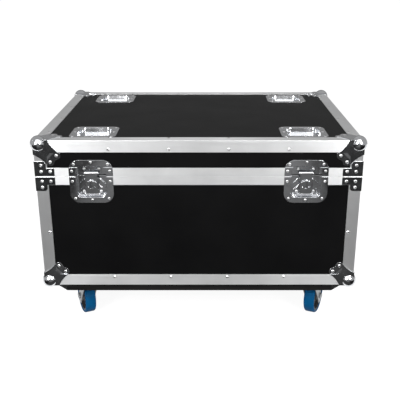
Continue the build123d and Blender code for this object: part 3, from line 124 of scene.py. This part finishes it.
# Camera at the photograph's viewing angle
CAMERA_X = 0.0231
CAMERA_Y = -1.8482
CAMERA_ABOVE_BOARD = 0.806
CAMERA_DIP = 20.23
CAMERA_SENSOR = 36.0
CAMERA_LENS = 59.79
CAMERA_SHIFT = -0.0203

BODY_OF_NODE = {node: body for body, nodes in frame["record"]["behaviour"]["bodies"].items()
                for node in nodes}
SLOT_OF_NODE = {part["node"]: part["material_slot"] for part in frame["record"]["subparts"]}


# Finishes

class Finish:
    """A finish whose colour, gloss and surface come from procedural nodes on Object coordinates."""

    def __init__(self, name, color, roughness, metallic=0.0, specular=0.5):
        self.material = bpy.data.materials.new(name)
        self.material.use_nodes = True
        self.material.diffuse_color = (*color, 1.0)
        self.nodes = self.material.node_tree.nodes
        self.links = self.material.node_tree.links
        self.shader = self.nodes["Principled BSDF"]
        self.shader.inputs["Base Color"].default_value = (*color, 1.0)
        self.shader.inputs["Roughness"].default_value = roughness
        self.shader.inputs["Metallic"].default_value = metallic
        self.shader.inputs["Specular IOR Level"].default_value = specular
        self.place = self.nodes.new("ShaderNodeTexCoord").outputs["Object"]

    def stretched(self, scale):
        """Object coordinates drawn out along some axes."""
        mapping = self.nodes.new("ShaderNodeMapping")
        mapping.inputs["Scale"].default_value = scale
        self.links.new(self.place, mapping.inputs["Vector"])
        return mapping.outputs["Vector"]

    def noise(self, scale, detail=2.0, place=None):
        texture = self.nodes.new("ShaderNodeTexNoise")
        texture.inputs["Scale"].default_value = scale
        texture.inputs["Detail"].default_value = detail
        self.links.new(place or self.place, texture.inputs["Vector"])
        return texture.outputs["Fac"]

    def cells(self, scale):
        texture = self.nodes.new("ShaderNodeTexVoronoi")
        texture.inputs["Scale"].default_value = scale
        self.links.new(self.place, texture.inputs["Vector"])
        return texture.outputs["Distance"]

    def spread(self, value, low, high, start=0.3, end=0.7):
        """A pattern brought between two values."""
        remap = self.nodes.new("ShaderNodeMapRange")
        remap.inputs["From Min"].default_value = start
        remap.inputs["From Max"].default_value = end
        remap.inputs["To Min"].default_value = low
        remap.inputs["To Max"].default_value = high
        self.links.new(value, remap.inputs["Value"])
        return remap.outputs["Result"]

    def color(self, pattern, first, second):
        mix = self.nodes.new("ShaderNodeMix")
        mix.data_type = "RGBA"
        color_inputs = [socket for socket in mix.inputs if socket.type == "RGBA"]
        color_inputs[0].default_value = (*first, 1.0)
        color_inputs[1].default_value = (*second, 1.0)
        self.links.new(pattern, mix.inputs[0])
        result = [socket for socket in mix.outputs if socket.type == "RGBA"][0]
        self.links.new(result, self.shader.inputs["Base Color"])

    def roughness(self, pattern):
        self.links.new(pattern, self.shader.inputs["Roughness"])

    def bump(self, height, strength, distance):
        node = self.nodes.new("ShaderNodeBump")
        node.inputs["Strength"].default_value = strength
        node.inputs["Distance"].default_value = distance
        self.links.new(height, node.inputs["Height"])
        previous = self.shader.inputs["Normal"].links
        if previous:
            self.links.new(previous[0].from_socket, node.inputs["Normal"])
        self.links.new(node.outputs["Normal"], self.shader.inputs["Normal"])


def black_laminate():
    """Phenolic film with a fine pebbled grain and faint rubbed patches."""
    finish = Finish("black_laminate", (0.003, 0.003, 0.0032), roughness=0.42, specular=0.08)
    patches = finish.noise(scale=9.0, detail=4.0)
    finish.color(finish.spread(patches, 0.0, 1.0), (0.0024, 0.0024, 0.0026), (0.0034, 0.0034, 0.0036))
    finish.roughness(finish.spread(patches, 0.41, 0.45))
    finish.bump(finish.cells(scale=520.0), strength=0.35, distance=0.00025)
    finish.bump(finish.noise(scale=1500.0, detail=3.0), strength=0.25, distance=0.0001)
    return finish.material


def scaled(color, share):
    return tuple(share * channel for channel in color)


def rail_aluminium(name, run):
    """Satin extrusion with drawing lines along its run."""
    finish = Finish(name, RAIL_COLOR, roughness=0.4, metallic=0.85)
    finish.shader.inputs["Anisotropic"].default_value = 0.7
    finish.shader.inputs["Anisotropic Rotation"].default_value = 0.0 if run == ALONG_Z else 0.25
    across = 900.0
    along = 6.0
    scale = [across, across, across]
    scale[run] = along
    lines = finish.noise(scale=1.0, detail=3.0, place=finish.stretched(scale))
    patches = finish.noise(scale=14.0, detail=3.0)
    finish.color(finish.spread(patches, 0.0, 1.0), scaled(RAIL_COLOR, 0.9), RAIL_COLOR)
    finish.roughness(finish.spread(lines, 0.34, 0.48))
    finish.bump(lines, strength=0.12, distance=0.00005)
    return finish.material


def bright_plating(name, color, low, high):
    """Polished plating with faint handling marks."""
    finish = Finish(name, color, roughness=low, metallic=1.0)
    marks = finish.noise(scale=60.0, detail=4.0)
    finish.color(finish.spread(marks, 0.0, 1.0), scaled(color, 0.88), color)
    finish.roughness(finish.spread(marks, low, high))
    finish.bump(finish.noise(scale=240.0), strength=0.06, distance=0.0002)
    return finish.material


def zinc_plating():
    """Passivated zinc with a mottled sheen."""
    finish = Finish("zinc_plating", (0.28, 0.29, 0.3), roughness=0.38, metallic=0.9)
    mottle = finish.spread(finish.cells(scale=160.0), 0.0, 1.0, start=0.1, end=0.8)
    finish.color(mottle, (0.2, 0.21, 0.22), (0.36, 0.37, 0.38))
    finish.roughness(finish.spread(finish.noise(scale=120.0, detail=3.0), 0.32, 0.48))
    finish.bump(finish.noise(scale=900.0), strength=0.08, distance=0.00005)
    return finish.material


def blue_rubber():
    """Elastic rubber with a fine moulded grain and a dusty bloom."""
    finish = Finish("blue_rubber", (0.001, 0.07, 0.19), roughness=0.5, specular=0.06)
    bloom = finish.noise(scale=45.0, detail=4.0)
    finish.color(finish.spread(bloom, 0.0, 1.0), (0.0005, 0.06, 0.16), (0.0015, 0.082, 0.215))
    finish.roughness(finish.spread(bloom, 0.42, 0.6))
    finish.bump(finish.noise(scale=1100.0, detail=3.0), strength=0.2, distance=0.0001)
    return finish.material


def moulded_black(name, color, roughness, grain):
    """Moulded nylon or rubber with a spark-eroded grain."""
    finish = Finish(name, color, roughness)
    wear = finish.noise(scale=80.0, detail=3.0)
    finish.roughness(finish.spread(wear, roughness - 0.06, roughness + 0.08))
    finish.color(finish.noise(scale=30.0, detail=3.0), color, scaled(color, 1.5))
    finish.bump(finish.noise(scale=grain), strength=0.25, distance=0.0001)
    return finish.material


def painted_board():
    """Black paint over plywood, the grain just showing."""
    finish = Finish("painted_board", (0.005, 0.005, 0.0055), roughness=0.6, specular=0.15)
    grain = finish.noise(scale=1.0, detail=5.0, place=finish.stretched((5.0, 120.0, 160.0)))
    finish.color(finish.spread(grain, 0.0, 1.0), (0.003, 0.003, 0.0035), (0.007, 0.0067, 0.0067))
    finish.roughness(finish.spread(grain, 0.5, 0.75))
    finish.bump(grain, strength=0.3, distance=0.0003)
    return finish.material


def cell_foam():
    """Closed-cell foam with open pores on its cut faces, each pore darkened with painted shade where it
    sinks.
    """
    finish = Finish("cell_foam", (0.05, 0.05, 0.054), roughness=0.9)
    finish.shader.inputs["Sheen Weight"].default_value = 0.3
    pores = finish.cells(scale=420.0)
    # Painted shade: darker in the middle of each pore, where the bump below sinks
    pore_shade = finish.spread(pores, 0.0, 1.0, start=0.05, end=0.5)
    finish.color(pore_shade, (0.025, 0.025, 0.028), (0.07, 0.07, 0.075))
    finish.bump(pores, strength=0.6, distance=0.0006)
    finish.bump(finish.noise(scale=18.0), strength=0.3, distance=0.002)
    return finish.material


FINISHES = {
    "black_laminate": black_laminate(),
    "chromed_steel": bright_plating("bright_chrome", (0.72, 0.73, 0.75), low=0.08, high=0.18),
    "rivet_steel": bright_plating("rivet_steel", (0.82, 0.82, 0.83), low=0.26, high=0.36),
    "zinc_steel": zinc_plating(),
    "black_board": painted_board(),
    "grey_foam": cell_foam(),
    "blue_tyre": blue_rubber(),
    "black_rim": moulded_black("rim_nylon", (0.018, 0.018, 0.02), roughness=0.45, grain=1300.0),
    "black_grip": moulded_black("grip_rubber", (0.014, 0.014, 0.014), roughness=0.55, grain=800.0),
}
# Rivet eye finish: the mandrel end's darker steel, made near black as painted shade in the rivet's hole
EYE_SHADE_FINISH = bright_plating("rivet_eye_shade", (0.08, 0.08, 0.085), low=0.4, high=0.5)
WEB_FINISH = bright_plating("wheel_web", (0.42, 0.425, 0.43), low=0.3, high=0.42)
RAIL_FINISHES = [
    rail_aluminium("rail_along_x", ALONG_X),
    rail_aluminium("rail_along_y", ALONG_Y),
    rail_aluminium("rail_upright", ALONG_Z),
]


# Pieces

def placed(name, shape, finishes, body, slot, nodes):
    """Make a piece of a shape, riding on its body and standing for its nodes."""
    mesh = bpy.data.meshes.new(name)
    shape.to_mesh(mesh)
    shape.free()
    for finish in finishes:
        mesh.materials.append(finish)
    piece = bpy.data.objects.new(name, mesh)
    bpy.context.scene.collection.objects.link(piece)
    mesh.shade_smooth()
    mesh.set_sharp_from_angle(angle=SMOOTH_ANGLE)
    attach(piece, body)
    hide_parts(*nodes)
    return piece


def closed_copy(node, whole_faces):
    """The shape of a CAD node with its seams closed, and its flat faces made whole if wanted."""
    shape = bmesh.new()
    shape.from_mesh(frame["nodes"][node].data)
    bmesh.ops.remove_doubles(shape, verts=shape.verts, dist=SEAM_DISTANCE)
    if whole_faces:
        bmesh.ops.dissolve_limit(shape, angle_limit=FLAT_ANGLE, verts=shape.verts, edges=shape.edges)
    return shape


def is_sharp(edge):
    return len(edge.link_faces) == 2 and edge.calc_face_angle(0.0) > SHARP_ANGLE


def is_fold(edge):
    """Whether an edge is one of the long shallow folds that a press leaves in a plate."""
    return (len(edge.link_faces) == 2 and edge.calc_length() > FOLD_LENGTH
            and FOLD_ANGLE < edge.calc_face_angle(0.0) < SHARP_ANGLE)


def roll_edges(shape, chosen, width, segments):
    """Roll the edges of a shape that are of one kind."""
    edges = [edge for edge in shape.edges if chosen(edge)]
    bmesh.ops.bevel(shape, geom=edges, offset=width, offset_type="OFFSET", segments=segments, profile=0.5,
                    affect="EDGES", clamp_overlap=False, material=-1)


def softened(node, width, segments=EDGE_SEGMENTS, finishes=None, index_of_face=None, whole_faces=True,
             fold=0):
    """A piece that stands for a node, with rolled edges."""
    shape = closed_copy(node, whole_faces)
    if fold:
        roll_edges(shape, is_fold, fold, segments)
    if width:
        roll_edges(shape, is_sharp, width, segments)
    for face in shape.faces:
        face.material_index = index_of_face(face.calc_center_median()) if index_of_face else 0
    slot = SLOT_OF_NODE[node]
    piece = placed(node + "_dressed", shape, finishes or [FINISHES[slot]], BODY_OF_NODE[node], slot, [node])
    weighted = piece.modifiers.new("weighted_normals", "WEIGHTED_NORMAL")
    weighted.keep_sharp = True
    return piece


def rail_run(center):
    """Which way a level rail runs at a point."""
    return ALONG_Y if HALF_WIDTH - abs(center.x) < HALF_DEPTH - abs(center.y) else ALONG_X


def lid_rail_run(center):
    """As for the level rails, with the short uprights of the lid below its top ring."""
    return ALONG_Z if center.z < LID_TOP - RAIL_LEG else rail_run(center)


def upright_run(center):
    return ALONG_Z


def web_of_wheel(node, side):
    """How to tell the faces of a wheel's hub and web, 1, from those of its band, 0."""
    low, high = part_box(node)
    hub = (Vector(low) + Vector(high)) / 2
    axle = Vector((cos(AXLE_YAW), -side * sin(AXLE_YAW), 0.0))

    def index_of_face(center):
        offset = center - hub
        return int((offset - offset.dot(axle) * axle).length < WHEEL_WEB_RADIUS)
    return index_of_face


def islands(shape):
    """The faces of a shape in connected groups."""
    left = set(shape.faces)
    while left:
        group = {left.pop()}
        edge_of_group = list(group)
        while edge_of_group:
            near = {face for edge in edge_of_group.pop().edges for face in edge.link_faces} & left
            left -= near
            group |= near
            edge_of_group.extend(near)
        yield group


def shade_rivet_eyes(mesh):
    """Give the eye in the middle of each rivet head the second finish: the mandrel end's darker steel, made
    near black as painted shade in the rivet's hole.
    """
    shape = bmesh.new()
    shape.from_mesh(mesh)
    for head in islands(shape):
        places = [vert.co for face in head for vert in face.verts]
        low = Vector([min(place[axis] for place in places) for axis in range(3)])
        high = Vector([max(place[axis] for place in places) for axis in range(3)])
        thin = min(range(3), key=lambda axis: high[axis] - low[axis])
        for face in head:
            offset = face.calc_center_median() - (low + high) / 2
            offset[thin] = 0.0
            if offset.length < EYE_RADIUS:
                face.material_index = 1
    shape.to_mesh(mesh)
    shape.free()


for node in ("base_front_panel", "base_back_panel", "base_end_panels", "base_floor_panel",
             "lid_top_panel", "lid_front_panel", "lid_back_panel", "lid_end_panels"):
    frame["nodes"][node].data.materials.clear()
    frame["nodes"][node].data.materials.append(FINISHES["black_laminate"])

for node, run in (("base_bottom_rails", rail_run), ("base_tongue_rails", rail_run),
                  ("lid_groove_rails", rail_run), ("lid_edge_rails", lid_rail_run),
                  ("base_corner_rails", upright_run)):
    softened(node, EXTRUDED_EDGE, finishes=RAIL_FINISHES, index_of_face=run)

for node in ("base_ball_corners", "lid_ball_corners"):
    softened(node, BALL_CORNER_EDGE, whole_faces=False, fold=FOLD_EDGE)

for node in ("base_corner_braces", "lid_corner_braces", "latch_lower_dishes", "latch_upper_dishes",
             "latch_strikes", "latch_hinge_brackets", "handle_dishes", "stacking_dishes",
             "hinge_lower_leaves", "hinge_upper_leaves"):
    softened(node, PRESSED_EDGE)

for node in ("castor_ball_races", "handle_springs"):
    softened(node, 0)

for node in ("base_rivets", "lid_rivets"):
    rivets = softened(node, 0)
    # The eyes of the rivet heads get painted shade of the rivet holes
    rivets.data.materials.append(EYE_SHADE_FINISH)
    shade_rivet_eyes(rivets.data)

for word in ("left", "right"):
    for part in ("swing_plate", "claw", "spindle", "wing_left", "wing_right"):
        softened("latch_" + word + "_" + part, SMALL_EDGE)
    softened("handle_" + word + "_bail", 0)
    softened("handle_" + word + "_grip", SMALL_EDGE)

softened("castor_board", BOARD_EDGE, BOARD_SEGMENTS)
softened("castor_top_plates", SMALL_EDGE)
softened("castor_bolts", SMALL_EDGE)
for row in ("front", "rear"):
    for word, side in (("left", -1), ("right", 1)):
        castor = "castor_" + row + "_" + word
        softened(castor + "_fork", SMALL_EDGE)
        softened(castor + "_tyre", SMALL_EDGE)
        softened(castor + "_rim", SMALL_EDGE, finishes=[FINISHES["black_rim"], WEB_FINISH],
                 index_of_face=web_of_wheel(castor + "_rim", side), whole_faces=False)

for node in ("base_foam_lining", "lid_foam_lining"):
    softened(node, FOAM_EDGE, FOAM_SEGMENTS)


# Studio: pale floor, plain light, and grey cards that only reflections see

def only_in_reflections(card):
    card.visible_camera = False
    card.visible_diffuse = False
    card.visible_transmission = False
    card.visible_volume_scatter = False
    card.visible_shadow = False


def glow_finish(name, grey):
    material = bpy.data.materials.new(name)
    material.use_nodes = True
    nodes = material.node_tree.nodes
    nodes.clear()
    glow = nodes.new("ShaderNodeEmission")
    glow.inputs["Color"].default_value = (grey, grey, grey, 1.0)
    output = nodes.new("ShaderNodeOutputMaterial")
    material.node_tree.links.new(glow.outputs["Emission"], output.inputs["Surface"])
    return material


def seen_directly(nodes, links):
    """1 for camera, glossy and transmission rays."""
    path = nodes.new("ShaderNodeLightPath")
    total = path.outputs["Is Camera Ray"]
    for kind in ("Is Glossy Ray", "Is Transmission Ray"):
        either = nodes.new("ShaderNodeMath")
        either.operation = "MAXIMUM"
        links.new(total, either.inputs[0])
        links.new(path.outputs[kind], either.inputs[1])
        total = either.outputs["Value"]
    return total


def flat_plane(name, width, depth, place, material):
    shape = bmesh.new()
    bmesh.ops.create_grid(shape, x_segments=1, y_segments=1, size=0.5,
                          matrix=place @ Matrix.Diagonal((width, depth, 1.0, 1.0)))
    mesh = bpy.data.meshes.new(name)
    shape.to_mesh(mesh)
    shape.free()
    mesh.materials.append(material)
    plane = bpy.data.objects.new(name, mesh)
    bpy.context.scene.collection.objects.link(plane)
    return plane


def studio_floor():
    """White floor that keeps the case's shadow."""
    material = bpy.data.materials.new("studio_white")
    material.use_nodes = True
    nodes = material.node_tree.nodes
    links = material.node_tree.links
    nodes.clear()
    shade = nodes.new("ShaderNodeBsdfDiffuse")
    shade.inputs["Color"].default_value = (FLOOR_GREY, FLOOR_GREY, FLOOR_GREY, 1.0)
    glow = nodes.new("ShaderNodeEmission")
    glow.inputs["Color"].default_value = (FLOOR_GLOW, FLOOR_GLOW, FLOOR_GLOW, 1.0)
    both = nodes.new("ShaderNodeAddShader")
    links.new(shade.outputs["BSDF"], both.inputs[0])
    links.new(glow.outputs["Emission"], both.inputs[1])
    choose = nodes.new("ShaderNodeMixShader")
    links.new(seen_directly(nodes, links), choose.inputs["Fac"])
    links.new(shade.outputs["BSDF"], choose.inputs[1])
    links.new(both.outputs["Shader"], choose.inputs[2])
    output = nodes.new("ShaderNodeOutputMaterial")
    links.new(choose.outputs["Shader"], output.inputs["Surface"])
    flat_plane("studio_floor", FLOOR_SIZE, FLOOR_SIZE, Matrix.Identity(4), material)


def studio_world():
    """White background to the eye and in metal, soft grey light for the rest."""
    world = bpy.data.worlds.new("studio_world")
    bpy.context.scene.world = world
    world.use_nodes = True
    nodes = world.node_tree.nodes
    links = world.node_tree.links
    nodes.clear()
    light = nodes.new("ShaderNodeBackground")
    light.inputs["Color"].default_value = (1.0, 1.0, 1.0, 1.0)
    light.inputs["Strength"].default_value = WORLD_LIGHT
    white = nodes.new("ShaderNodeBackground")
    white.inputs["Color"].default_value = (1.0, 1.0, 1.0, 1.0)
    white.inputs["Strength"].default_value = WORLD_WHITE
    choose = nodes.new("ShaderNodeMixShader")
    links.new(seen_directly(nodes, links), choose.inputs["Fac"])
    links.new(light.outputs["Background"], choose.inputs[1])
    links.new(white.outputs["Background"], choose.inputs[2])
    output = nodes.new("ShaderNodeOutputWorld")
    links.new(choose.outputs["Shader"], output.inputs["Surface"])


def soft_lamp(name, place, aim, size, power):
    lamp = bpy.data.lights.new(name, "AREA")
    lamp.shape = "RECTANGLE"
    lamp.size, lamp.size_y = size
    lamp.energy = power
    holder = bpy.data.objects.new(name, lamp)
    bpy.context.scene.collection.objects.link(holder)
    holder.location = place
    holder.rotation_euler = (Vector(aim) - Vector(place)).to_track_quat("-Z", "Y").to_euler()


studio_floor()
studio_world()
for lamp in LAMPS:
    soft_lamp(*lamp)


def grey_card(name, width, height, place, grey):
    card = flat_plane(name, width, height, place, glow_finish(name + "_finish", grey))
    only_in_reflections(card)
    return card.data.materials[0]


def upright_card(name, y, height, grey):
    """Card across the room that faces along Y."""
    place = Matrix.Translation((0.0, y, CARD_FOOT + height / 2)) @ Matrix.Rotation(radians(90), 4, "X")
    grey_card(name, ROOM_WIDTH, height, place, grey)


def shade_floor_card(material):
    """Lighter about x = 0, and darker towards the case."""
    nodes = material.node_tree.nodes
    links = material.node_tree.links
    axes = nodes.new("ShaderNodeSeparateXYZ")
    links.new(nodes.new("ShaderNodeTexCoord").outputs["Object"], axes.inputs["Vector"])
    sideways = nodes.new("ShaderNodeMath")
    sideways.operation = "ABSOLUTE"
    links.new(axes.outputs["X"], sideways.inputs[0])
    product = nodes.new("ShaderNodeMath")
    product.operation = "MULTIPLY"
    fades = ((sideways.outputs["Value"], FADE_TO_SIDES), (axes.outputs["Y"], FADE_TO_CASE))
    for socket, (value, (near, far, first, last)) in enumerate(fades):
        ramp = nodes.new("ShaderNodeMapRange")
        ramp.inputs["From Min"].default_value = near
        ramp.inputs["From Max"].default_value = far
        ramp.inputs["To Min"].default_value = first
        ramp.inputs["To Max"].default_value = last
        links.new(value, ramp.inputs["Value"])
        links.new(ramp.outputs["Result"], product.inputs[socket])
    links.new(product.outputs["Value"], nodes["Emission"].inputs["Strength"])


room_depth = ROOM_BACK - ROOM_FRONT
room_middle = (ROOM_BACK + ROOM_FRONT) / 2
floor_place = Matrix.Translation((0.0, FLOOR_CARD_Y, FLOOR_CARD_LIFT))
shade_floor_card(grey_card("floor_card", FLOOR_CARD_WIDTH, FLOOR_CARD_DEPTH, floor_place, FLOOR_CARD_GREY))
upright_card("front_card", ROOM_FRONT, FRONT_CARD_HEIGHT, FRONT_CARD_GREY)
upright_card("back_card", ROOM_BACK, WALL_CARD_HEIGHT, BACK_CARD_GREY)
ceiling_place = Matrix.Translation((0.0, room_middle, ROOM_TOP))
grey_card("ceiling_card", ROOM_WIDTH, room_depth, ceiling_place, CEILING_CARD_GREY)
endways = Matrix.Rotation(radians(90), 4, "Y") @ Matrix.Rotation(radians(90), 4, "Z")
wall_z = CARD_FOOT + WALL_CARD_HEIGHT / 2
for word, side in (("left", -1), ("right", 1)):
    wall_place = Matrix.Translation((side * ROOM_SIDE, room_middle, wall_z)) @ endways
    grey_card("side_card_" + word, room_depth, WALL_CARD_HEIGHT, wall_place, SIDE_CARD_GREY)


# Camera

camera_data = bpy.data.cameras.new("photo_camera")
camera_data.sensor_width = CAMERA_SENSOR
camera_data.lens = CAMERA_LENS
camera_data.shift_x = CAMERA_SHIFT
camera = bpy.data.objects.new("photo_camera", camera_data)
bpy.context.scene.collection.objects.link(camera)
camera.location = (CAMERA_X, CAMERA_Y, BOARD_TOP + CAMERA_ABOVE_BOARD)
camera.rotation_euler = (radians(90.0 - CAMERA_DIP), 0.0, 0.0)
bpy.context.scene.camera = camera

bpy.context.scene.view_settings.view_transform = "Standard"
